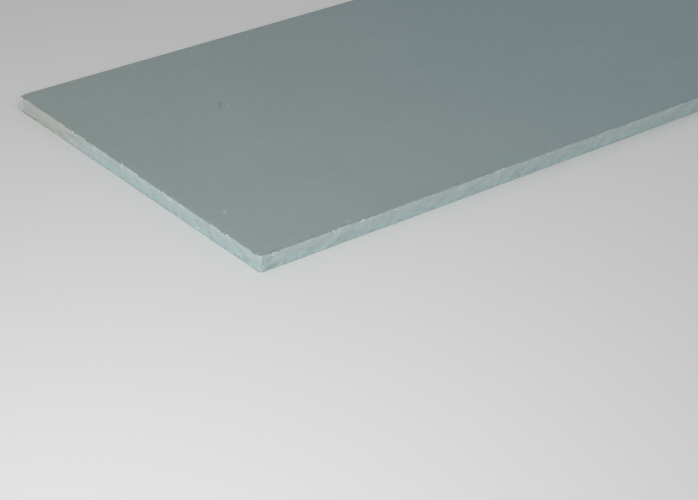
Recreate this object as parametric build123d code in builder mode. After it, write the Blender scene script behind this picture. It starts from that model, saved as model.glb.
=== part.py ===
from build123d import *
import os

# A strip of plasterboard, lying on its back: a gypsum core between a face paper and a back paper.
# One long side is the paper-bound edge that came off the making line. The other long side and both
# ends are cut, and show the bare gypsum between the two papers.
# X runs along the length, Y from the cut side to the bound side, Z up from the back to the face.
# The origin is in the middle of the back, on the floor that the sheet lies on.

# Sheet
board_length = 1200.0
board_width = 300.0
board_thickness = 12.5

# Papers
face_paper_thickness = 0.4
back_paper_thickness = 0.35

# Bound edge: outer radii of the face paper where it turns down off the face and in under the back
face_arris_radius = 4.5
back_arris_radius = 4.0

# How far the face paper reaches in under the back, and how far the back paper laps over that fold
face_paper_fold = 25.0
back_paper_lap = 16.0

# Places across the width and up the thickness
cut_side_y = -board_width / 2
bound_side_y = board_width / 2
fold_end_y = bound_side_y - face_paper_fold
lap_end_y = fold_end_y + back_paper_lap
face_z = board_thickness
core_back_z = back_paper_thickness

os.makedirs("parts", exist_ok=True)

# Face paper: one sheet of even thickness that follows the face, the bound edge and the fold
with BuildPart() as face_paper:
    with BuildSketch(Plane.YZ) as face_paper_section:
        with BuildLine():
            FilletPolyline(
                (cut_side_y, face_z),
                (bound_side_y, face_z),
                (bound_side_y, core_back_z),
                (fold_end_y, core_back_z),
                radius=[face_arris_radius, back_arris_radius],
            )
            offset(amount=face_paper_thickness, side=Side.RIGHT)
        make_face()
    extrude(amount=board_length / 2, both=True)
face_paper.part.label = "face_paper"

# Back paper: flat, from the cut side to the end of its lap over the fold
with BuildPart() as back_paper:
    with BuildSketch(Plane.YZ):
        with Locations((cut_side_y, 0)):
            Rectangle(lap_end_y - cut_side_y, back_paper_thickness, align=(Align.MIN, Align.MIN))
    extrude(amount=board_length / 2, both=True)
back_paper.part.label = "back_paper"

# Gypsum core: what the two papers hold, with a step of one paper's thickness over the fold
with BuildPart() as gypsum_core:
    with BuildSketch(Plane.YZ) as core_section:
        with Locations((cut_side_y, core_back_z)):
            Rectangle(board_width, face_z - core_back_z, align=(Align.MIN, Align.MIN))
        bound_corners = core_section.vertices().group_by(Axis.X)[-1].sort_by(Axis.Y)
        fillet(bound_corners[-1], face_arris_radius)
        bound_corners = core_section.vertices().group_by(Axis.X)[-1].sort_by(Axis.Y)
        fillet(bound_corners[0], back_arris_radius)
        add(face_paper_section.sketch_local, mode=Mode.SUBTRACT)
    extrude(amount=board_length / 2, both=True)
gypsum_core.part.label = "gypsum_core"

export_step(gypsum_core.part, "parts/gypsum_core.step")
export_step(face_paper.part, "parts/face_paper.step")
export_step(back_paper.part, "parts/back_paper.step")
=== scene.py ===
import math
import random
from collections import namedtuple
from contextlib import contextmanager

import bmesh
import bpy
from mathutils import Euler, Matrix, Vector


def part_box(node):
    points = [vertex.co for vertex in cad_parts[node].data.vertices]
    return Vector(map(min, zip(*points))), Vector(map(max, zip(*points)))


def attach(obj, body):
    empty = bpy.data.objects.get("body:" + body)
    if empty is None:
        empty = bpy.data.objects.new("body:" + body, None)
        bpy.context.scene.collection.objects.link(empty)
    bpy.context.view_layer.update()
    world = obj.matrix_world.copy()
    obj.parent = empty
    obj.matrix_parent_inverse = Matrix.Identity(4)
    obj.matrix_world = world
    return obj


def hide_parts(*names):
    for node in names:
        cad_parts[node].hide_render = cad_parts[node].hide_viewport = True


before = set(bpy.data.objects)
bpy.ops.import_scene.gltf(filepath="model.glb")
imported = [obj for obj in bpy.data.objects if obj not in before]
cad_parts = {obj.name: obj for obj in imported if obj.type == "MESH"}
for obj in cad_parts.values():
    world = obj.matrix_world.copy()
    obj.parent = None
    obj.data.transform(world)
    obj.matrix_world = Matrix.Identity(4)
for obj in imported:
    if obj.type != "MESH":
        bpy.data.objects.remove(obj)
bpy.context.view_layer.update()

MM = 0.001

# Places on the sheet, read from the frame
core_low, core_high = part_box("gypsum_core")
face_low, face_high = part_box("face_paper")
back_low, back_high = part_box("back_paper")
near_end, far_end = face_low.x, face_high.x
cut_side, bound_side = face_low.y, face_high.y
sheet_length, sheet_width = far_end - near_end, bound_side - cut_side
face_top, fold_bottom = face_high.z, face_low.z
face_paper_thickness = face_high.z - core_high.z
lap_end = back_high.y


def level_points(node, height):
    """The widths across the sheet at which a CAD node has points at that height."""
    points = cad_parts[node].data.vertices
    return [point.co.y for point in points if abs(point.co.z - height) < 0.01 * MM]


face_arris = bound_side - max(level_points("face_paper", face_top))
back_arris = bound_side - max(level_points("face_paper", fold_bottom))
fold_end = min(level_points("face_paper", fold_bottom))

# How far a rough piece reaches past the planes that trim it
OVERRUN = 2 * MM

# The most parts that an edge is divided into in one go
MOST_PARTS = 100

# Spacing of the points along a cut edge, in the gypsum and in the papers
GYPSUM_STEP = 0.6 * MM
PAPER_STEP = 0.75 * MM

# How many parts a paper is divided into, along the sheet and across it
PAPER_COLUMNS = 24
PAPER_ROWS = 6

# How many parts the rounded arrises of the bound edge have, in the gypsum and in the face paper
CORE_FACE_PARTS, CORE_BACK_PARTS = 10, 8
PAPER_FACE_PARTS, PAPER_BACK_PARTS = 12, 8

# Run of the step in the gypsum where the folded paper ends
FOLD_STEP_RUN = 0.5 * MM

# Rounding of the two worn corners between the cut side and the ends
CORNER_ROUND = 1.4 * MM
CORNER_PARTS = 4

# Slivers shorter than this are taken out of a piece after it is trimmed
SLIVER = 0.005 * MM

# Faces that meet at less than this angle look like one smooth surface
SMOOTH_ANGLE = math.radians(35)

# Nicks in the upper arrises that the photograph shows: along the near end from the cut side, and along
# the cut side from the near end
END_NICKS = (36.7 * MM, 55.0 * MM, 161.5 * MM, 203.0 * MM, 224.9 * MM)
SIDE_NICKS = (10.5 * MM, 60.3 * MM, 85.7 * MM, 213.7 * MM)

# Stretches where it shows the face paper torn back, in the same way: middle, reach and depth in
# millimetres. A tear goes a millimetre deep at most, and a greater depth only makes it blunter.
END_TEARS = (
    (0, 6, 0.6), (14, 12, 0.15), (29, 8, 0.2), (151, 9, 0.3), (213, 6, 0.4), (284, 9, 0.35), (298, 8, 0.6),
    (299.5, 5, 1.6),
)
SIDE_TEARS = ((68, 7, 0.5), (127, 9, 0.3), (210, 14, 0.35), (318, 7, 0.4), (390, 14, 0.4))

# Crumbs that it shows on the same two walls: place along the wall, height and size in millimetres
END_CRUMBS = (
    (297.9, 9.4, 1.4), (285.7, 2.3, 1.4), (279.5, 1.3, 1.4), (270.6, 1.7, 1.4), (252.6, 9.3, 1.0),
    (241.8, 8.8, 1.1), (227.3, 3.3, 1.1), (224.9, 9.3, 1.3), (200.9, 8.7, 1.4), (173.6, 8.8, 1.3),
    (161.5, 9.0, 1.2), (148.5, 8.4, 1.2), (102.3, 9.6, 1.0), (84.6, 8.9, 0.9), (71.8, 9.2, 1.3),
    (68.5, 10.4, 1.1), (66.0, 9.9, 1.1), (47.9, 9.4, 1.3), (22.5, 9.6, 1.4), (1.2, 1.4, 1.0),
    (1.7, 2.6, 0.7), (1.2, 3.8, 0.6),
)
SIDE_CRUMBS = (
    (10.6, 9.3, 1.1), (11.9, 9.6, 1.2), (18.2, 9.3, 1.2), (40.6, 10.0, 1.1), (62.0, 10.0, 1.2),
    (85.0, 10.0, 1.2), (86.2, 10.3, 1.1),
)

# Chips in the lower arris of the cut side that the photograph shows, from the near end: middle and reach
SIDE_CHIPS = ((10.5 * MM, 7.5 * MM),)

# Length of the cut side that the photograph shows, from the near end
SHOWN_LENGTH = 414 * MM

# How many more nicks and chips there are where it shows none, how far the nicks keep from the bound edge,
# and the least and greatest reach of both in millimetres
MORE_SIDE_NICKS = 14
FAR_END_NICKS = 6
MORE_SIDE_CHIPS = 7
NICK_MARGIN = 10 * MM
NICK_REACH = (0.9, 1.7)
CHIP_REACH = (4, 9)

# How deep the wear goes: the gypsum in a nick and in a chip, the paper in a nick, and the worn foot of the
# near cut corner
NICK_DEPTH = 0.6 * MM
CHIP_DEPTH = 0.6 * MM
PAPER_NICK_DEPTH = 0.8 * MM
FOOT_DEPTH = 0.8 * MM

# How far each kind of wear reaches: from an arris up or down the wall, and from the foot of the corner
ARRIS_REACH = 1.6 * MM
CHIP_HEIGHT = 2.6 * MM
CRUMBLING_REACH = 3.0 * MM
FOOT_REACH = 4 * MM
FOOT_HEIGHT = 7 * MM

# How steeply a tear reaches its full depth from its ends
TEAR_STEEPNESS = 1.6

# The upper arrises, rolled down in rings of faces: how far each ring is from its rim in millimetres, and
# the share of the drop that it adds. The last two stay level.
ROLL_RINGS = ((0.5, 0.45), (1.0, 0.3), (1.7, 0.15), (2.6, 0.1), (4.5, 0.0), (7.0, 0.0))

# The upper corner between the near end and the bound edge: how far it is beaten down, how far that
# reaches, the cuts that give the face points there, in millimetres from the bound edge, and how far in and
# how far down the points lie that take the whole drop
BEATEN_DROP = 0.8 * MM
BEATEN_REACH = 6 * MM
BEATEN_CUTS = (6.5, 9.0, 13.0)
BEATEN_IN = 0.6 * MM
BEATEN_DOWN = 3 * MM

# How many more places are tried for a crumb on the near end, the far end and the cut side, what share of
# them is low, and the least and greatest heights and sizes in millimetres
MORE_CRUMBS = (50, 40, 170)
LOW_SHARE = 0.25
LOW_HEIGHTS = (0.8, 2.2)
HIGH_HEIGHTS = (8.0, 11.6)
LOOSE_SIZES = (0.35, 0.8)

# The patterns of a crumb, a millimetre across: how many flats are broken off each, and the least and
# greatest distance of a flat from its middle in millimetres
CRUMB_RADIUS = 0.5 * MM
CRUMB_FLATS = (4, 5, 6)
FLAT_PLACES = (0.24, 0.36)

# How many places on the same three walls are tried for a torn flap of paper
FLAPS = (12, 12, 80)

# The patterns of a flap: width in millimetres, steps, and degrees that each step curls, up to the full curl
FLAP_SHAPES = ((0.8, 5, 24), (1.3, 6, 20), (0.6, 7, 17), (1.8, 4, 28))
FULL_CURL = 100

# Length of the root by which a flap sits in the paper, length of a step, and thickness of the torn ply
FLAP_ROOT = 0.4 * MM
FLAP_STEP = 0.22 * MM
FLAP_THICKNESS = 0.14 * MM

# Share of the drop of its arris at which a flap hangs
FLAP_DROP = 0.6

# How far crumbs and flaps keep from the start and from the end of a wall
CRUMB_MARGINS = (2 * MM, 6 * MM)
FLAP_MARGINS = (8 * MM, 12 * MM)

# A place on a wall holds a crumb or a flap if it lies in by more than the first and less than the second
CRUMB_DEPTHS = (0.1 * MM, 3 * MM)
FLAP_DEPTHS = (0.3 * MM, 3 * MM)

# How much of that depth they may fill, so that they stay behind the plane of the cut, and how far a crumb
# is sunk at least, as a share of its radius
CRUMB_FILL = 0.9
FLAP_FILL = 0.85
CRUMB_SUNK = 0.16

# Marks on the face that the photograph shows: middle from the near end and from the cut side, length and
# width in millimetres, turn in degrees, strength, and whether it is pale
FACE_MARKS = (
    (111.5, 198.0, 17, 3.5, 54, 0.28, False),
    (115.3, 194.2, 8, 2.2, 54, 0.22, True),
    (81.2, 97.8, 3.5, 3.0, 0, 0.08, False),
    (16.6, 62.0, 5.5, 2.6, 54, 0.5, True),
    (12.6, 66.2, 4.5, 1.5, 10, 0.12, True),
    (3.0, 121.0, 3.5, 1.5, 20, 0.25, False),
    (76.2, 3.8, 4.4, 2.2, -40, 0.7, True),
    (11.8, 1.8, 4.0, 2.2, 0, 0.3, False),
    (48.6, 1.9, 4.5, 1.8, 0, 0.2, False),
)

# Place on the near end, at the tip by the bound edge, where a painted highlight whitens the gypsum, set out
# in the same way but without a strength
TIP_HIGHLIGHT = (0, 297, 5, 9, 0)

# Camera of the photograph, set out from the near cut corner of the face
CAMERA_FROM_CORNER = Vector((-0.7011, -0.9233, 0.6642))
CAMERA_TILT = math.radians(60.42)
CAMERA_ROLL = math.radians(-1.81)
CAMERA_HEADING = math.radians(-39.0)

# Its lens and the width of its sensor in millimetres
CAMERA_LENS = 106.64
CAMERA_SENSOR = 36.0

# Light of the photograph: an even light all round, a brighter backdrop for the eye alone, a gridded lamp
# set out from the same corner, and a weaker one set out from the far end of the bound edge, at floor level
EVEN_LIGHT = 0.47
BACKDROP_LIGHT = 0.8
KEY_FROM_CORNER = Vector((-0.56, -0.42, 0.64))
KEY_SIZE = 0.6
KEY_POWER = 2.47
KEY_SPREAD = math.radians(105)
FILL_FROM_CORNER = Vector((0.35, 0.3, 0.9))
FILL_SIZE = 0.8
FILL_POWER = 0.75
FILL_SPREAD = math.radians(80)

# How far the floor reaches each way
FLOOR_REACH = 6.0

chance = random.Random(17)


# Selecting and shaping

def only(piece):
    """Makes one piece the selected and active one."""
    for other in list(bpy.context.selected_objects):
        other.select_set(False)
    piece.select_set(True)
    bpy.context.view_layer.objects.active = piece


@contextmanager
def editing(piece, what="EDGE"):
    """Edit mode on one piece, with nothing selected in it."""
    only(piece)
    bpy.ops.object.mode_set(mode="EDIT")
    bpy.ops.mesh.select_mode(type=what)
    bpy.ops.mesh.select_all(action="DESELECT")
    yield
    bpy.ops.object.mode_set(mode="OBJECT")


def select_edges(piece, test):
    """Selects the edges whose two end points pass the test, and no others."""
    mesh = bmesh.from_edit_mesh(piece.data)
    for edge in mesh.edges:
        edge.select = test(edge.verts[0].co, edge.verts[1].co)
    mesh.select_flush_mode()
    bmesh.update_edit_mesh(piece.data)


def select_points(piece, test):
    """Selects the points that pass the test, and no others."""
    mesh = bmesh.from_edit_mesh(piece.data)
    for point in mesh.verts:
        point.select = test(point.co)
    mesh.select_flush_mode()
    bmesh.update_edit_mesh(piece.data)


def same(a, b):
    """True for two places that agree within a thousandth of a millimetre."""
    return abs(a - b) < 0.001 * MM


def share(value):
    """A value held between 0 and 1."""
    return min(1.0, max(0.0, value))


def settle(piece):
    """Puts a piece's place, turn and size into its mesh."""
    only(piece)
    bpy.ops.object.transform_apply(location=True, rotation=True, scale=True)


def add_box(name, low, high):
    """A box between two corners, its place in its mesh."""
    low, high = Vector(low), Vector(high)
    bpy.ops.mesh.primitive_cube_add(size=1, location=(low + high) / 2, scale=high - low)
    piece = bpy.context.object
    piece.name = name
    settle(piece)
    return piece


def add_plane(name, low, high, height):
    """A level plane between two corners, its place in its mesh."""
    middle = ((low[0] + high[0]) / 2, (low[1] + high[1]) / 2, height)
    bpy.ops.mesh.primitive_plane_add(size=1, location=middle)
    piece = bpy.context.object
    piece.name = name
    piece.scale = (high[0] - low[0], high[1] - low[1], 1)
    settle(piece)
    return piece


def modify(piece, kind, **settings):
    """Adds a modifier to a piece and applies it."""
    modifier = piece.modifiers.new(kind.lower(), kind)
    for name, value in settings.items():
        setattr(modifier, name, value)
    only(piece)
    bpy.ops.object.modifier_apply(modifier=modifier.name)


def remove(piece):
    """Takes a piece away."""
    bpy.data.objects.remove(piece, do_unlink=True)


def divide(piece, test, parts):
    """Cuts the edges that pass the test into equal parts, in more than one go past MOST_PARTS."""
    while parts > 1:
        step = min(parts, MOST_PARTS)
        select_edges(piece, test)
        bpy.ops.mesh.subdivide(number_cuts=step - 1, ngon=True, quadcorner="STRAIGHT_CUT")
        parts = round(parts / step)


def copy_of(pattern, placing):
    """A copy of a piece, with a mesh of its own, put in place."""
    piece = pattern.copy()
    piece.data = pattern.data.copy()
    piece.matrix_world = placing
    bpy.context.scene.collection.objects.link(piece)
    return piece


def join(name, pieces):
    """Joins pieces into one, its place in its mesh."""
    only(pieces[0])
    for piece in pieces:
        piece.select_set(True)
    bpy.ops.object.join()
    pieces[0].name = name
    settle(pieces[0])
    return pieces[0]


# Relief of the cut walls

# A relief: the size of its lumps, where its noise starts and where it is at its full depth, the detail of
# that noise, and the full depth
Relief = namedtuple("Relief", "name size start end detail depth")
WANDER = Relief("wander", 30 * MM, 0.25, 0.75, 2, 0.45 * MM)
WOBBLE = Relief("wobble", 8 * MM, 0.4, 0.8, 2, 0.45 * MM)
BREAK = Relief("break", 4.5 * MM, 0.3, 0.8, 4, 0.2 * MM)
GRAIN = Relief("grain", 1.1 * MM, 0.25, 0.75, 2, 0.08 * MM)
CRUMBLING = Relief("crumbling", 4 * MM, 0.45, 0.72, 3, 0.4 * MM)
FIBRES = Relief("fibres", 1.3 * MM, 0.3, 0.8, 2, 0.12 * MM)
FACE_TEARS = Relief("face_tears", 5 * MM, 0.5, 0.75, 3, 0.3 * MM)
BACK_TEARS = Relief("back_tears", 5 * MM, 0.5, 0.75, 3, 0.5 * MM)

# The pores of the gypsum: how far apart they are, their reach as a share of that, and their depth
PORE_SPACING = 5.5 * MM
PORE_SHARE = 0.2
PORE_DEPTH = 0.35 * MM

# How much the relief of the gypsum is drawn out along its walls
DRAWN_OUT = 2.5


def cloud(relief):
    """Soft noise, black below the relief's start and white above its end."""
    texture = bpy.data.textures.new(relief.name, "CLOUDS")
    texture.noise_scale = relief.size
    texture.noise_depth = relief.detail
    return stepped(texture, relief.start, relief.end, (0, 0, 0, 1), (1, 1, 1, 1))


def cells(name, size, reach):
    """White spots at scattered points, black past their reach."""
    texture = bpy.data.textures.new(name, "VORONOI")
    texture.noise_scale = size
    return stepped(texture, 0.0, reach, (1, 1, 1, 1), (0, 0, 0, 1))


def stepped(texture, start, end, first, last):
    """Gives a texture a ramp from one colour to another between two of its values."""
    texture.use_color_ramp = True
    low, high = texture.color_ramp.elements
    low.position, low.color = start, first
    high.position, high.color = end, last
    return texture


# A cut wall: the name of its points' group, the axis that it faces along, the way inwards on that axis, the
# plane that it was cut on, its length, how far its upper arris is rolled down, and the share of the relief
# that it shows
Wall = namedtuple("Wall", "name axis inwards plane length drop relief")
WALLS = (
    Wall("near_end", "X", 1, near_end, sheet_width, 1.05 * MM, 0.75),
    Wall("far_end", "X", -1, far_end, sheet_width, 0.8 * MM, 0.8),
    Wall("cut_side", "Y", 1, cut_side, sheet_length, 0.15 * MM, 0.62),
)


def scatter_nicks():
    """Middle and reach of each nick: the ones that the photograph shows, and more where it shows none."""
    middles = [(near_end, cut_side + place) for place in END_NICKS]
    middles += [(near_end + place, cut_side) for place in SIDE_NICKS]
    for _ in range(MORE_SIDE_NICKS):
        middles.append((near_end + chance.uniform(SHOWN_LENGTH, sheet_length), cut_side))
    for _ in range(FAR_END_NICKS):
        middles.append((far_end, cut_side + chance.uniform(0, sheet_width - NICK_MARGIN)))
    return [(x, y, chance.uniform(*NICK_REACH) * MM) for x, y in middles]


def scatter_chips():
    """Middle and reach of each chip in the lower arris of the cut side, in the same way."""
    chips = [(near_end + place, cut_side, reach) for place, reach in SIDE_CHIPS]
    for _ in range(MORE_SIDE_CHIPS):
        place = chance.uniform(SHOWN_LENGTH, sheet_length)
        reach = chance.uniform(*CHIP_REACH) * MM
        chips.append((near_end + place, cut_side, reach))
    return chips


def place_tears():
    """Middle, reach and depth of each tear: the ones that the photograph shows, and like ones elsewhere."""
    tears = []
    for end, shown in ((near_end, END_TEARS), (far_end, END_TEARS[::2])):
        tears += [(end, cut_side + middle * MM, reach * MM, depth) for middle, reach, depth in shown]
    for middle, reach, depth in SIDE_TEARS:
        for place in (near_end + middle * MM, far_end - middle * MM):
            tears.append((place, cut_side, reach * MM, depth))
    return tears


NICKS = scatter_nicks()
CHIPS = scatter_chips()
TEARS = place_tears()


def fading(distance, reach, full=0.0):
    """1 up to the full share of the reach, and from there falling evenly to 0 within one reach."""
    return share(1 + full - distance / reach)


def near_place(point, x, y, reach):
    """1 straight above or below a place, falling evenly to 0 at its reach."""
    return fading(math.hypot(point.x - x, point.y - y), reach)


def by_upper_arris(point):
    """1 at the upper arrises, 0 well below them."""
    return fading(core_high.z - point.z, ARRIS_REACH)


def in_nick(point):
    """1 in the middle of a nick in an upper arris, 0 past its reach or well below the arris."""
    up = by_upper_arris(point)
    if up == 0:
        return 0.0
    return up * max(near_place(point, *nick) for nick in NICKS)


def in_tear(point):
    """How far the paper is torn back there, in millimetres: even in a tear, and less towards its ends."""
    up = by_upper_arris(point)
    if up == 0:
        return 0.0
    return up * max(depth * share(TEAR_STEEPNESS * near_place(point, *place)) for *place, depth in TEARS)


def in_chip(point):
    """1 in the middle of a chip in a lower arris, 0 past its reach or well above the arris."""
    low = fading(point.z - core_low.z, CHIP_HEIGHT, 0.2)
    if low == 0:
        return 0.0
    return low * max(near_place(point, *chip) for chip in CHIPS)


def near_papers(point):
    """1 where the gypsum meets a paper, 0 from a little way off."""
    away = min(abs(point.z - core_low.z), abs(point.z - core_high.z))
    return fading(away, CRUMBLING_REACH)


def at_foot(point):
    """1 at the foot of the near cut corner, less up it and along its two walls."""
    away = max(point.x - near_end, point.y - cut_side)
    return fading(away, FOOT_REACH) * fading(point.z, FOOT_HEIGHT, 0.1)


def group_walls(piece, suffix="", weight=lambda point: 1.0):
    """Groups the points on each cut wall, less and less round its corners, each by its weight."""
    for wall in WALLS:
        group = piece.vertex_groups.new(name=wall.name + suffix)
        for point in piece.data.vertices:
            place = getattr(point.co, wall.axis.lower())
            facing = fading(abs(place - wall.plane), CORNER_ROUND)
            if facing > 0:
                group.add([point.index], facing * weight(point.co), "REPLACE")


def press_in(piece, texture, depth, suffix="", guide=None):
    """Presses the points of the cut walls inwards: by the depth and their weight in the group.

    With a texture each wall takes its own share of that, and only where the texture is white. With a guide
    the texture is drawn out as the guide is.
    """
    for wall in WALLS:
        modify(
            piece,
            "DISPLACE",
            texture=texture,
            texture_coords="OBJECT" if guide else "LOCAL",
            texture_coords_object=guide,
            direction=wall.axis,
            mid_level=0.0,
            strength=depth * wall.inwards * (wall.relief if texture else 1),
            vertex_group=wall.name + suffix,
        )


def carve(piece, relief, suffix="", guide=None):
    """Presses a relief into the cut walls."""
    press_in(piece, cloud(relief), relief.depth, suffix, guide)


def on_long_rim(a, b):
    """True for a level edge along the cut side."""
    return same(a.y, cut_side) and same(b.y, cut_side) and same(a.z, b.z)


def on_end_rim(a, b):
    """True for a level edge along an end."""
    return same(a.x, b.x) and (same(a.x, near_end) or same(a.x, far_end)) and same(a.z, b.z)


def upright(a, b):
    """True for an upright edge."""
    return same(a.x, b.x) and same(a.y, b.y)


def divide_rims(piece, step):
    """Divides the rims of the three cut walls into steps of about that length."""
    divide(piece, on_long_rim, MOST_PARTS * round(sheet_length / step / MOST_PARTS))
    divide(piece, on_end_rim, MOST_PARTS * round(sheet_width / step / MOST_PARTS))


# Trimming shapes

def cut_line(block):
    """Lets the cut walls wander and wears their foot, the same for the gypsum and its papers."""
    carve(block, WANDER)
    carve(block, WOBBLE)
    press_in(block, None, FOOT_DEPTH, "_foot")


def broken_block():
    """What is left of a block after its three walls are broken off: the outline of the cut gypsum."""
    low = (near_end, cut_side, core_low.z - OVERRUN)
    high = (far_end, bound_side + OVERRUN, core_high.z + OVERRUN)
    block = add_box("broken_block", low, high)
    rows = round((high[2] - low[2]) / GYPSUM_STEP)
    bpy.ops.object.empty_add()
    guide = bpy.context.object
    guide.scale = (DRAWN_OUT, DRAWN_OUT, 1)
    bpy.context.view_layer.update()
    with editing(block):
        select_edges(block, lambda a, b: upright(a, b) and same(a.y, cut_side))
        bpy.ops.mesh.bevel(offset=CORNER_ROUND, segments=CORNER_PARTS, affect="EDGES")
        divide_rims(block, GYPSUM_STEP)
        divide(block, upright, rows)
    group_walls(block)
    group_walls(block, "_foot", at_foot)
    group_walls(block, "_arris", near_papers)
    group_walls(block, "_nicks", in_nick)
    group_walls(block, "_chips", in_chip)
    cut_line(block)
    carve(block, BREAK, guide=guide)
    carve(block, GRAIN, guide=guide)
    press_in(block, cells("pores", PORE_SPACING, PORE_SHARE), PORE_DEPTH, guide=guide)
    carve(block, CRUMBLING, "_arris")
    press_in(block, None, NICK_DEPTH, "_nicks")
    press_in(block, None, CHIP_DEPTH, "_chips")
    remove(guide)
    return block


def ragged_block(name, level, tears):
    """A thick slab with upright walls and a ragged outline, which is that of a paper torn at a level."""
    slab = add_plane(name, (near_end, cut_side), (far_end, bound_side + OVERRUN), level)
    with editing(slab, "VERT"):
        select_points(slab, lambda point: same(point.y, cut_side))
        bpy.ops.mesh.bevel(offset=CORNER_ROUND, segments=CORNER_PARTS, affect="VERTICES")
        bpy.ops.mesh.select_mode(type="EDGE")
        divide_rims(slab, PAPER_STEP)
    group_walls(slab)
    group_walls(slab, "_foot", at_foot)
    group_walls(slab, "_nicks", in_nick)
    group_walls(slab, "_tears", in_tear)
    cut_line(slab)
    carve(slab, FIBRES)
    carve(slab, tears)
    press_in(slab, None, PAPER_NICK_DEPTH, "_nicks")
    press_in(slab, None, MM, "_tears")
    modify(slab, "SOLIDIFY", thickness=2 * (face_top + OVERRUN), offset=0.0)
    return slab


def trim(piece, block):
    """Keeps of a piece what lies inside the block, in triangles and without slivers."""
    modify(piece, "BOOLEAN", operation="INTERSECT", solver="MANIFOLD", object=block)
    remove(block)
    with editing(piece):
        bpy.ops.mesh.select_all(action="SELECT")
        bpy.ops.mesh.dissolve_degenerate(threshold=SLIVER)
        bpy.ops.mesh.select_all(action="SELECT")
        bpy.ops.mesh.quads_convert_to_tris(quad_method="BEAUTY", ngon_method="BEAUTY")


# Wear of the upper arrises

def roll_over(piece):
    """Rolls the upper arrises of the cut walls down a little, in rings of faces along their rims."""
    above = fold_bottom + back_arris
    with editing(piece, "VERT"):
        for wall in WALLS:
            inwards = Vector((wall.axis == "X", wall.axis == "Y", 0)) * wall.inwards
            for ring, part in ROLL_RINGS:
                edge = wall.plane * wall.inwards + ring * MM
                bpy.ops.mesh.select_all(action="SELECT")
                bpy.ops.mesh.bisect(plane_co=inwards * edge, plane_no=inwards)
                select_points(piece, lambda p: p.z > above and p @ inwards < edge - 0.01 * MM)
                bpy.ops.transform.translate(value=(0, 0, -wall.drop * part))


def crush_corner(piece):
    """Beats down the upper corner between the near end and the bound edge."""
    end_limit = near_end + BEATEN_IN
    side_limit = bound_side - face_arris - BEATEN_IN
    lowest = core_high.z - BEATEN_DOWN
    with editing(piece, "VERT"):
        for cut in BEATEN_CUTS:
            bpy.ops.mesh.select_all(action="SELECT")
            bpy.ops.mesh.bisect(plane_co=(0, bound_side - cut * MM, 0), plane_no=(0, 1, 0))
        select_points(piece, lambda p: p.x < end_limit and p.y > side_limit and p.z > lowest)
        bpy.ops.transform.translate(
            value=(0, 0, -BEATEN_DROP),
            use_proportional_edit=True,
            proportional_edit_falloff="SMOOTH",
            proportional_size=BEATEN_REACH,
        )


# Pieces of the sheet

def make_core():
    """The gypsum between the papers, rounded under the bound edge and broken at its cut edges."""
    low = (near_end - OVERRUN, cut_side - OVERRUN, core_low.z)
    high = (far_end + OVERRUN, bound_side - face_paper_thickness, core_high.z)
    core = add_box("core", low, high)
    with editing(core):
        for place in (fold_end, fold_end + FOLD_STEP_RUN):
            bpy.ops.mesh.select_all(action="SELECT")
            bpy.ops.mesh.bisect(plane_co=(0, place, 0), plane_no=(0, 1, 0))
        over_fold = fold_end + FOLD_STEP_RUN / 2
        select_points(core, lambda p: p.y > over_fold and same(p.z, core_low.z))
        bpy.ops.transform.translate(value=(0, 0, face_paper_thickness))
        edge_y = high[1]
        for height, radius, parts in (
            (core_high.z, face_arris, CORE_FACE_PARTS),
            (core_low.z + face_paper_thickness, back_arris, CORE_BACK_PARTS),
        ):
            select_edges(core, lambda a, b: all(same(p.y, edge_y) and same(p.z, height) for p in (a, b)))
            bpy.ops.mesh.bevel(offset=radius - face_paper_thickness, segments=parts, affect="EDGES")
    roll_over(core)
    crush_corner(core)
    trim(core, broken_block())
    return core


def make_face_liner():
    """The face paper: over the face, round the bound edge and folded in under the back."""
    flat_end = bound_side - face_arris
    low, high = (near_end - OVERRUN, cut_side - OVERRUN), (far_end + OVERRUN, flat_end)
    liner = add_plane("face_liner", low, high, face_top)
    quarter = math.pi / 2
    with editing(liner):
        divide(liner, lambda a, b: same(a.y, b.y), PAPER_COLUMNS)
        divide(liner, lambda a, b: same(a.x, b.x), PAPER_ROWS)
        select_edges(liner, lambda a, b: same(a.y, flat_end) and same(b.y, flat_end))
        middle = (0, flat_end, face_top - face_arris)
        bpy.ops.mesh.spin(steps=PAPER_FACE_PARTS, angle=quarter, center=middle, axis=(1, 0, 0))
        down = face_top - face_arris - fold_bottom - back_arris
        bpy.ops.mesh.extrude_region_move(TRANSFORM_OT_translate={"value": (0, 0, -down)})
        middle = (0, bound_side - back_arris, fold_bottom + back_arris)
        bpy.ops.mesh.spin(steps=PAPER_BACK_PARTS, angle=quarter, center=middle, axis=(1, 0, 0))
        under = bound_side - back_arris - fold_end
        bpy.ops.mesh.extrude_region_move(TRANSFORM_OT_translate={"value": (0, -under, 0)})
        bpy.ops.mesh.select_all(action="SELECT")
        bpy.ops.mesh.remove_doubles(threshold=0.001 * MM)
        bpy.ops.mesh.normals_make_consistent(inside=False)
    roll_over(liner)
    crush_corner(liner)
    modify(liner, "SOLIDIFY", thickness=face_paper_thickness, offset=-1.0, use_even_offset=True)
    trim(liner, ragged_block("face_outline", core_high.z, FACE_TEARS))
    return liner


def make_back_liner():
    """The back paper: flat, ragged where it was cut and straight where it laps over the fold."""
    low = (near_end - OVERRUN, cut_side - OVERRUN, back_low.z)
    liner = add_box("back_liner", low, (far_end + OVERRUN, lap_end, back_high.z))
    with editing(liner):
        divide(liner, lambda a, b: same(a.y, b.y) and same(a.z, b.z), PAPER_COLUMNS)
    trim(liner, ragged_block("back_outline", core_low.z, BACK_TEARS))
    return liner


# Loose bits on the cut walls

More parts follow.
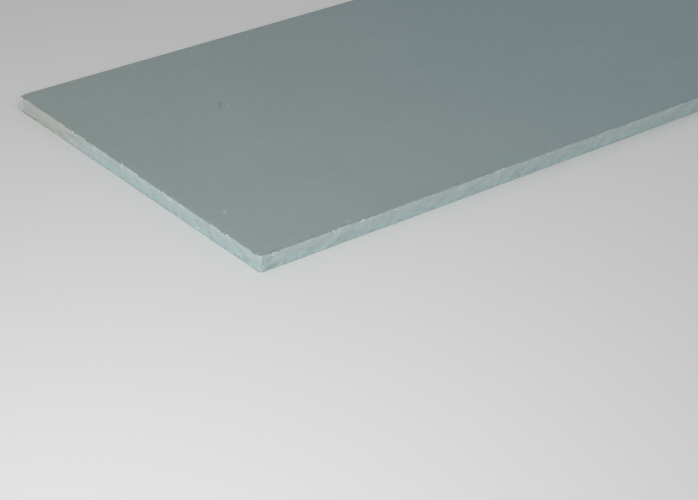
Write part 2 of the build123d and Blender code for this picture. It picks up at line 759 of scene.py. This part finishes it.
def wall_spot(piece, wall, along, height):
    """Where a cut wall of a piece is at a place along it and a height, and how deep that lies."""
    outside = wall.plane - wall.inwards * OVERRUN
    if wall.axis == "X":
        start = Vector((outside, cut_side + along, height))
        way = Vector((wall.inwards, 0, 0))
    else:
        start = Vector((near_end + along, outside, height))
        way = Vector((0, wall.inwards, 0))
    hit, place, _, _ = piece.ray_cast(start, way)
    depth = (place - start).length - OVERRUN
    return hit, place, way, depth


def make_crumb(name, flats):
    """A lump of broken gypsum about a millimetre across: a ball with flats broken off it."""
    bpy.ops.mesh.primitive_ico_sphere_add(subdivisions=2, radius=CRUMB_RADIUS)
    lump = bpy.context.object
    lump.name = name
    with editing(lump, "VERT"):
        for _ in range(flats):
            way = Vector((chance.uniform(-1, 1), chance.uniform(-1, 1), chance.uniform(-1, 1))).normalized()
            bpy.ops.mesh.select_all(action="SELECT")
            bpy.ops.mesh.bisect(
                plane_co=way * chance.uniform(*FLAT_PLACES) * MM,
                plane_no=way,
                clear_outer=True,
                use_fill=True,
            )
    return lump


def scatter_crumbs():
    """Wall, place along it, height and size of each crumb: those of the photograph first."""
    near, _, side = WALLS
    first, last = CRUMB_MARGINS
    spots = [(near, along * MM, height * MM, size) for along, height, size in END_CRUMBS]
    spots += [(side, along * MM, height * MM, size) for along, height, size in SIDE_CRUMBS]
    for wall, count in zip(WALLS, MORE_CRUMBS):
        for _ in range(count):
            low = chance.random() < LOW_SHARE
            height = chance.uniform(*LOW_HEIGHTS) if low else chance.uniform(*HIGH_HEIGHTS)
            along = chance.uniform(first, wall.length - last)
            size = chance.uniform(*LOOSE_SIZES)
            spots.append((wall, along, height * MM, size))
    return spots


def make_crumbs(core):
    """Crumbs that still cling to the cut walls, most of them just under the face paper."""
    patterns = [make_crumb("crumb", flats) for flats in CRUMB_FLATS]
    crumbs = []
    for wall, along, height, size in scatter_crumbs():
        hit, place, way, depth = wall_spot(core, wall, along, height)
        if not hit or not CRUMB_DEPTHS[0] < depth < CRUMB_DEPTHS[1]:
            continue
        radius = size * CRUMB_RADIUS
        turn = Euler([chance.uniform(0, math.tau) for _ in range(3)]).to_matrix().to_4x4()
        sizes = (size, size * chance.uniform(0.6, 1.0), size * chance.uniform(0.7, 1.0))
        stretch = Matrix.Diagonal((*sizes, 1))
        sunk = max(CRUMB_SUNK * radius, radius - CRUMB_FILL * depth)
        middle = Matrix.Translation(place + way * sunk)
        crumbs.append(copy_of(chance.choice(patterns), middle @ turn @ stretch))
    for pattern in patterns:
        remove(pattern)
    return join("crumbs", crumbs)


def make_flap(name, width, steps, curl):
    """A torn flap of one ply of the paper, its root along X at the origin, curling down from +Y to -Z."""
    half = width / 2 * MM
    flap = add_plane(name, (-half, -FLAP_ROOT), (half, 0), 0)
    with editing(flap):
        select_edges(flap, lambda a, b: same(a.y, 0) and same(b.y, 0))
        bpy.ops.mesh.subdivide(number_cuts=3)
        select_edges(flap, lambda a, b: same(a.y, 0) and same(b.y, 0))
        for number in range(1, steps + 1):
            slope = math.radians(min(number * curl, FULL_CURL))
            sideways = chance.uniform(-0.05, 0.05) * MM
            move = (sideways, FLAP_STEP * math.cos(slope), -FLAP_STEP * math.sin(slope))
            bpy.ops.mesh.extrude_region_move(TRANSFORM_OT_translate={"value": move})
            narrowing = chance.uniform(0.78, 0.95)
            bpy.ops.transform.resize(value=(narrowing, 1, 1))
        bpy.ops.mesh.select_all(action="SELECT")
        bpy.ops.mesh.normals_make_consistent(inside=False)
    modify(flap, "SOLIDIFY", thickness=FLAP_THICKNESS, offset=0.0)
    return flap


def make_flaps(liner):
    """Torn flaps that hang from the cut edge of the face paper, where that edge lies deepest."""
    patterns = [make_flap("flap", *shape) for shape in FLAP_SHAPES]
    flaps = []
    first, last = FLAP_MARGINS
    for wall, count in zip(WALLS, FLAPS):
        height = face_top - FLAP_DROP * wall.drop - face_paper_thickness / 2
        for _ in range(count):
            along = chance.uniform(first, wall.length - last)
            hit, place, way, depth = wall_spot(liner, wall, along, height)
            if not hit or not FLAP_DEPTHS[0] < depth < FLAP_DEPTHS[1]:
                continue
            outwards = math.atan2(-way.y, -way.x) - math.pi / 2
            turn = Euler((chance.uniform(-0.1, 0.1), 0, outwards + chance.uniform(-0.25, 0.25))).to_matrix()
            size = Matrix.Diagonal((chance.uniform(0.7, 1.2), 1, chance.uniform(0.7, 1.1), 1))
            pattern = chance.choice(patterns)
            turned = turn.to_4x4() @ size
            overhang = max(-(turned @ point.co) @ way for point in pattern.data.vertices)
            sunk = max(0.0, overhang - FLAP_FILL * depth)
            flaps.append(copy_of(pattern, Matrix.Translation(place + way * sunk) @ turned))
    for pattern in patterns:
        remove(pattern)
    return join("paper_flaps", flaps)


# Finishes

class Link:
    """An output of a node. Arithmetic on it adds Math nodes."""

    def __init__(self, nodes, socket):
        self.nodes = nodes
        self.socket = socket

    def maths(self, operation, first, second):
        """The two values put together by a Math node."""
        return self.nodes.node("ShaderNodeMath", {"operation": operation}, {0: first, 1: second})

    def __add__(self, other):
        return self.maths("ADD", self, other)

    def __sub__(self, other):
        return self.maths("SUBTRACT", self, other)

    def __rsub__(self, other):
        return self.maths("SUBTRACT", other, self)

    def __mul__(self, other):
        return self.maths("MULTIPLY", self, other)

    __radd__ = __add__

    def least(self, other):
        """The smaller of the two."""
        return self.maths("MINIMUM", self, other)

    def most(self, other):
        """The greater of the two."""
        return self.maths("MAXIMUM", self, other)

    def between(self, start, end):
        """0 below start, 1 above end and a smooth rise between them."""
        settings = {"interpolation_type": "SMOOTHSTEP"}
        inputs = {"Value": self, "From Min": start, "From Max": end}
        return self.nodes.node("ShaderNodeMapRange", settings, inputs)

    def output(self, name):
        """Another output of the same node."""
        return Link(self.nodes, self.socket.node.outputs[name])


class Nodes:
    """The nodes of a material or of the world."""

    def __init__(self, tree, shader):
        self.tree = tree
        self.shader = tree.nodes[shader]

    def node(self, kind, settings=None, inputs=None, output=0):
        """A new node with its settings, and its inputs as values or links. Gives one of its outputs."""
        made = self.tree.nodes.new(kind)
        for name, value in (settings or {}).items():
            setattr(made, name, value)
        for name, value in (inputs or {}).items():
            if isinstance(value, Link):
                self.tree.links.new(value.socket, made.inputs[name])
            else:
                made.inputs[name].default_value = value
        return Link(self, made.outputs[output])

    def vector(self, operation, first, second=(0, 0, 0), output=0):
        """Two vectors or colours put together."""
        return self.node("ShaderNodeVectorMath", {"operation": operation}, {0: first, 1: second}, output)

    def mix(self, amount, first, second):
        """The first colour where the amount is 0 and the second where it is 1."""
        return self.node("ShaderNodeMix", {"data_type": "RGBA"}, {0: amount, 6: first, 7: second}, 2)

    def looked_at(self):
        """1 for what the eye sees, straight or in a gloss or through glass, and 0 for light thrown back."""
        path = self.node("ShaderNodeLightPath", output="Is Camera Ray")
        return path.most(path.output("Is Glossy Ray")).most(path.output("Is Transmission Ray"))

    def link(self, value, socket):
        """Links a value to an input of the shader."""
        self.tree.links.new(value.socket, self.shader.inputs[socket])


class Finish(Nodes):
    """A material and its nodes."""

    def __init__(self, name, roughness, specular):
        self.material = bpy.data.materials.new(name)
        self.material.use_nodes = True
        super().__init__(self.material.node_tree, "Principled BSDF")
        self.shader.inputs["Roughness"].default_value = roughness
        self.shader.inputs["Specular IOR Level"].default_value = specular
        self.place = self.node("ShaderNodeTexCoord", output="Object")

    def axis(self, name):
        """One coordinate of the place on the sheet."""
        return self.node("ShaderNodeSeparateXYZ", inputs={0: self.place}, output=name)

    def noise(self, size, detail=2.0, stretch=(1, 1, 1)):
        """Noise with lumps of about that size."""
        where = self.vector("MULTIPLY", self.place, stretch)
        inputs = {"Vector": where, "Scale": 1 / size, "Detail": detail}
        return self.node("ShaderNodeTexNoise", inputs=inputs)

    def spots(self, spacing, reach):
        """1 in the middle of scattered spots and 0 past their reach, spacing apart."""
        inputs = {"Vector": self.place, "Scale": 1 / spacing}
        distance = self.node("ShaderNodeTexVoronoi", inputs=inputs, output="Distance")
        return 1 - distance.between(0.0, reach / spacing)

    def mark(self, along, across, length, width, turn):
        """1 inside a ragged mark, its middle set out from the near end and the cut side in millimetres."""
        inputs = {
            "Vector": self.place,
            "Location": (near_end + along * MM, cut_side + across * MM, face_top),
            "Rotation": (0, 0, math.radians(turn)),
            "Scale": (length / 2 * MM, width / 2 * MM, 1),
        }
        away = self.node("ShaderNodeMapping", {"vector_type": "TEXTURE"}, inputs)
        reach = self.vector("LENGTH", away, output="Value")
        return 1 - (reach + self.noise(width / 2 * MM)).between(0.9, 1.6)

    def shade(self, tint, amount):
        """A colour made lighter or darker by a factor round 1."""
        factor = self.node("ShaderNodeCombineXYZ", inputs={0: amount, 1: amount, 2: amount})
        return self.vector("MULTIPLY", tint, factor)

    def from_rim(self):
        """How far the place is from the nearest cut edge, with half a millimetre more at the ends."""
        along = self.axis("X")
        from_ends = (along - near_end).least(far_end - along) + 0.5 * MM
        return from_ends.least(self.axis("Y") - cut_side)

    def dust(self, start, end):
        """1 on the cut edges and 0 past the ragged end of the gypsum dust beside them."""
        ragged = self.from_rim() + self.noise(2.5 * MM, 3.0) * (end - start)
        return 1 - ragged.between(start, end)

    def rim_shade_and_dirt(self, reach):
        """1 in the darker patches along the cut edges: partly painted shade of the lifted paper rim, partly
        handling dirt.
        """
        patches = self.noise(6 * MM).between(0.5, 0.62)
        return patches * (1 - self.from_rim().between(0.5 * reach, reach))

    def bump(self, height, distance):
        """Roughens the surface by a height between 0 and 1, times a distance."""
        self.link(self.node("ShaderNodeBump", inputs={"Height": height, "Distance": distance}), "Normal")


def colour(red, green, blue):
    """A colour given as it shows on a screen, from 0 to 255."""
    def linear(value):
        part = value / 255
        return part / 12.92 if part < 0.04045 else ((part + 0.055) / 1.055) ** 2.4
    return (linear(red), linear(green), linear(blue), 1.0)


def face_paper_finish():
    """Matt grey paper, faintly cloudy, with short fibres along the sheet, small marks and a dusty rim."""
    finish = Finish("face_paper", 0.85, 0.2)
    drift = finish.axis("X") + finish.noise(120 * MM) * 0.2
    clouds = finish.noise(45 * MM, 3.0)
    fibres = finish.noise(1.2 * MM, 3.0, (0.25, 1, 1))
    pulp = finish.noise(0.5 * MM, 2.0, (0.6, 1, 1))
    mottle = finish.noise(7 * MM)
    along_sheet = drift.between(near_end, near_end + 0.6)
    tint = finish.mix(along_sheet, colour(143, 154, 152), colour(135, 151, 154))
    grey = finish.shade(tint, 0.87 + clouds * 0.07 + fibres * 0.04 + mottle * 0.09 + pulp * 0.06)
    pale, dark = colour(184, 194, 192), colour(96, 104, 102)
    for *shape, strength, is_pale in FACE_MARKS:
        grey = finish.mix(finish.mark(*shape) * strength, grey, pale if is_pale else dark)
    grey = finish.mix(finish.spots(34 * MM, 0.9 * MM) * 0.25, grey, pale)
    # Darker patches by the cut edges: painted shade under the lifted paper rim, mixed with handling dirt
    grey = finish.mix(finish.rim_shade_and_dirt(3 * MM) * 0.16, grey, dark)
    grey = finish.mix(finish.dust(0.4 * MM, 1.1 * MM) * 0.5, grey, pale)
    finish.link(grey, "Base Color")
    finish.link(0.74 + fibres * 0.12, "Roughness")
    finish.bump(fibres * 0.5 + mottle * 0.3 + pulp * 0.4, 0.08 * MM)
    return finish.material


def gypsum_finish(name, lower_tint, upper_tint):
    """Chalky white gypsum, with painted shade in its pores, painted green light by the near cut corner, a
    little painted light towards the top of its walls and a painted highlight at one tip.
    """
    finish = Finish(name, 0.92, 0.2)
    along_walls = (0.4, 0.4, 1)
    clouds = finish.noise(8 * MM, 3.0, along_walls)
    grain = finish.noise(0.9 * MM, 3.0, along_walls)
    grit = finish.noise(0.35 * MM)
    # Lighter towards the top of the cut walls: painted light, as more light falls there than at the foot
    upper = finish.axis("Z").between(0.55 * core_high.z, 0.8 * core_high.z)
    # Painted green reflected light by the near cut corner: it fades across and along the sheet and is
    # strongest at the foot of the walls
    across = finish.axis("Y").between(cut_side + 180 * MM, cut_side + 250 * MM)
    along = finish.axis("X").between(near_end + SHOWN_LENGTH, near_end + 1.5 * SHOWN_LENGTH)
    rise = finish.axis("Z").between(0, 0.8 * core_high.z)
    green = (1 - across) * (1 - along) * (1 - rise * 0.5)
    plain, green_light_tint = (1, 1, 1, 1), (0.88, 1.1, 1.18, 1)
    tint = finish.mix(upper, lower_tint, upper_tint)
    tint = finish.vector("MULTIPLY", tint, finish.mix(green, plain, green_light_tint))
    drift = finish.axis("Y").between(cut_side + 60 * MM, cut_side + 170 * MM)
    white = finish.shade(tint, 0.905 + drift * 0.045 + clouds * 0.08 + grain * 0.06 + grit * 0.04)
    # Painted highlight: the gypsum at the tip by the bound edge made white, where its rim catches the light
    white = finish.mix(finish.mark(*TIP_HIGHLIGHT) * 0.8, white, colour(236, 240, 237))
    pores = finish.spots(1.6 * MM, 0.35 * MM)
    # Painted shade: the gypsum made greyer in its pores, the small hollows where shade falls
    white = finish.mix(pores * 0.3, white, colour(150, 158, 155))
    finish.link(white, "Base Color")
    finish.link(0.88 + grain * 0.1, "Roughness")
    finish.bump(grain * 0.5 + grit * 0.3 - pores * 0.8, 0.1 * MM)
    return finish.material


def back_paper_finish():
    """Brown-grey recycled paper with darker and lighter fibres, pale with gypsum dust at its cut rim."""
    finish = Finish("back_paper", 0.85, 0.25)
    clouds = finish.noise(45 * MM, 3.0)
    fibres = finish.noise(1.0 * MM, 3.0, (0.3, 1, 1))
    mottle = finish.noise(6 * MM, 3.0)
    tint = finish.mix(clouds.between(0.3, 0.7), colour(126, 120, 106), colour(120, 115, 105))
    brown = finish.shade(tint, 0.9 + fibres * 0.1 + mottle * 0.08)
    brown = finish.mix(finish.spots(9 * MM, 0.5 * MM) * 0.4, brown, colour(84, 78, 68))
    brown = finish.mix(finish.dust(1.2 * MM, 2.6 * MM) * 0.8, brown, colour(176, 184, 180))
    finish.link(brown, "Base Color")
    finish.link(0.8 + fibres * 0.12, "Roughness")
    finish.bump(fibres * 0.6 + mottle * 0.4, 0.1 * MM)
    return finish.material


# Studio

def make_floor():
    """A floor that looks pale but throws back only as much light as a mid grey one."""
    floor = add_plane("floor", (-FLOOR_REACH, -FLOOR_REACH), (FLOOR_REACH, FLOOR_REACH), 0.0)
    finish = Finish("floor", 0.95, 0.1)
    finish.link(finish.mix(finish.looked_at(), colour(120, 120, 118), colour(214, 215, 214)), "Base Color")
    floor.data.materials.append(finish.material)


def make_lamp(name, place, target, size, power, spread):
    """A square soft lamp aimed at a point. Neither the camera nor a gloss on the sheet shows it."""
    lamp = bpy.data.lights.new(name, "AREA")
    lamp.size = size
    lamp.energy = power
    lamp.spread = spread
    piece = bpy.data.objects.new(name, lamp)
    piece.location = place
    piece.rotation_euler = (Vector(target) - Vector(place)).to_track_quat("-Z", "Y").to_euler()
    piece.visible_camera = False
    piece.visible_glossy = False
    bpy.context.scene.collection.objects.link(piece)


def make_light():
    """An even light all round, a soft lamp beyond the near cut corner and one over the far end."""
    corner = Vector((near_end, cut_side, face_top))
    make_lamp("key", corner + KEY_FROM_CORNER, corner, KEY_SIZE, KEY_POWER, KEY_SPREAD)
    far_corner = Vector((far_end, bound_side, 0))
    make_lamp("fill", far_corner + FILL_FROM_CORNER, (far_end, 0, 0), FILL_SIZE, FILL_POWER, FILL_SPREAD)
    world = bpy.data.worlds.new("studio")
    bpy.context.scene.world = world
    world.use_nodes = True
    nodes = Nodes(world.node_tree, "Background")
    nodes.shader.inputs["Color"].default_value = (1, 1, 1, 1)
    nodes.link(EVEN_LIGHT + nodes.looked_at() * (BACKDROP_LIGHT - EVEN_LIGHT), "Strength")


def make_camera():
    """The camera of the photograph."""
    lens = bpy.data.cameras.new("camera")
    lens.lens = CAMERA_LENS
    lens.sensor_width = CAMERA_SENSOR
    camera = bpy.data.objects.new("camera", lens)
    camera.location = Vector((near_end, cut_side, face_top)) + CAMERA_FROM_CORNER
    camera.rotation_euler = (CAMERA_TILT, CAMERA_ROLL, CAMERA_HEADING)
    bpy.context.scene.collection.objects.link(camera)
    bpy.context.scene.camera = camera


def hand_over(piece, material):
    """Gives a piece its finish and lets it ride with the sheet."""
    piece.data.materials.clear()
    piece.data.materials.append(material)
    only(piece)
    bpy.ops.object.shade_smooth_by_angle(angle=SMOOTH_ANGLE)
    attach(piece, "root")


bpy.context.scene.view_settings.view_transform = "Standard"
make_camera()
make_floor()
make_light()

core = make_core()
face_liner = make_face_liner()
back_liner = make_back_liner()

# The second tint, for the top of the walls, is a little lighter: painted light
gypsum = gypsum_finish("gypsum", colour(209, 213, 208), colour(211, 216, 212))
# A paler copy of the gypsum for the crumbs: painted highlight, standing in for the light that their facets
# catch
highlit_crumb_gypsum = gypsum_finish("highlit_crumb_gypsum", colour(231, 235, 232), colour(231, 235, 232))
face_paper = face_paper_finish()

hand_over(make_crumbs(core), highlit_crumb_gypsum)
hand_over(make_flaps(face_liner), face_paper)
hand_over(core, gypsum)
hand_over(face_liner, face_paper)
hand_over(back_liner, back_paper_finish())
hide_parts("gypsum_core")
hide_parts("face_paper")
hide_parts("back_paper")
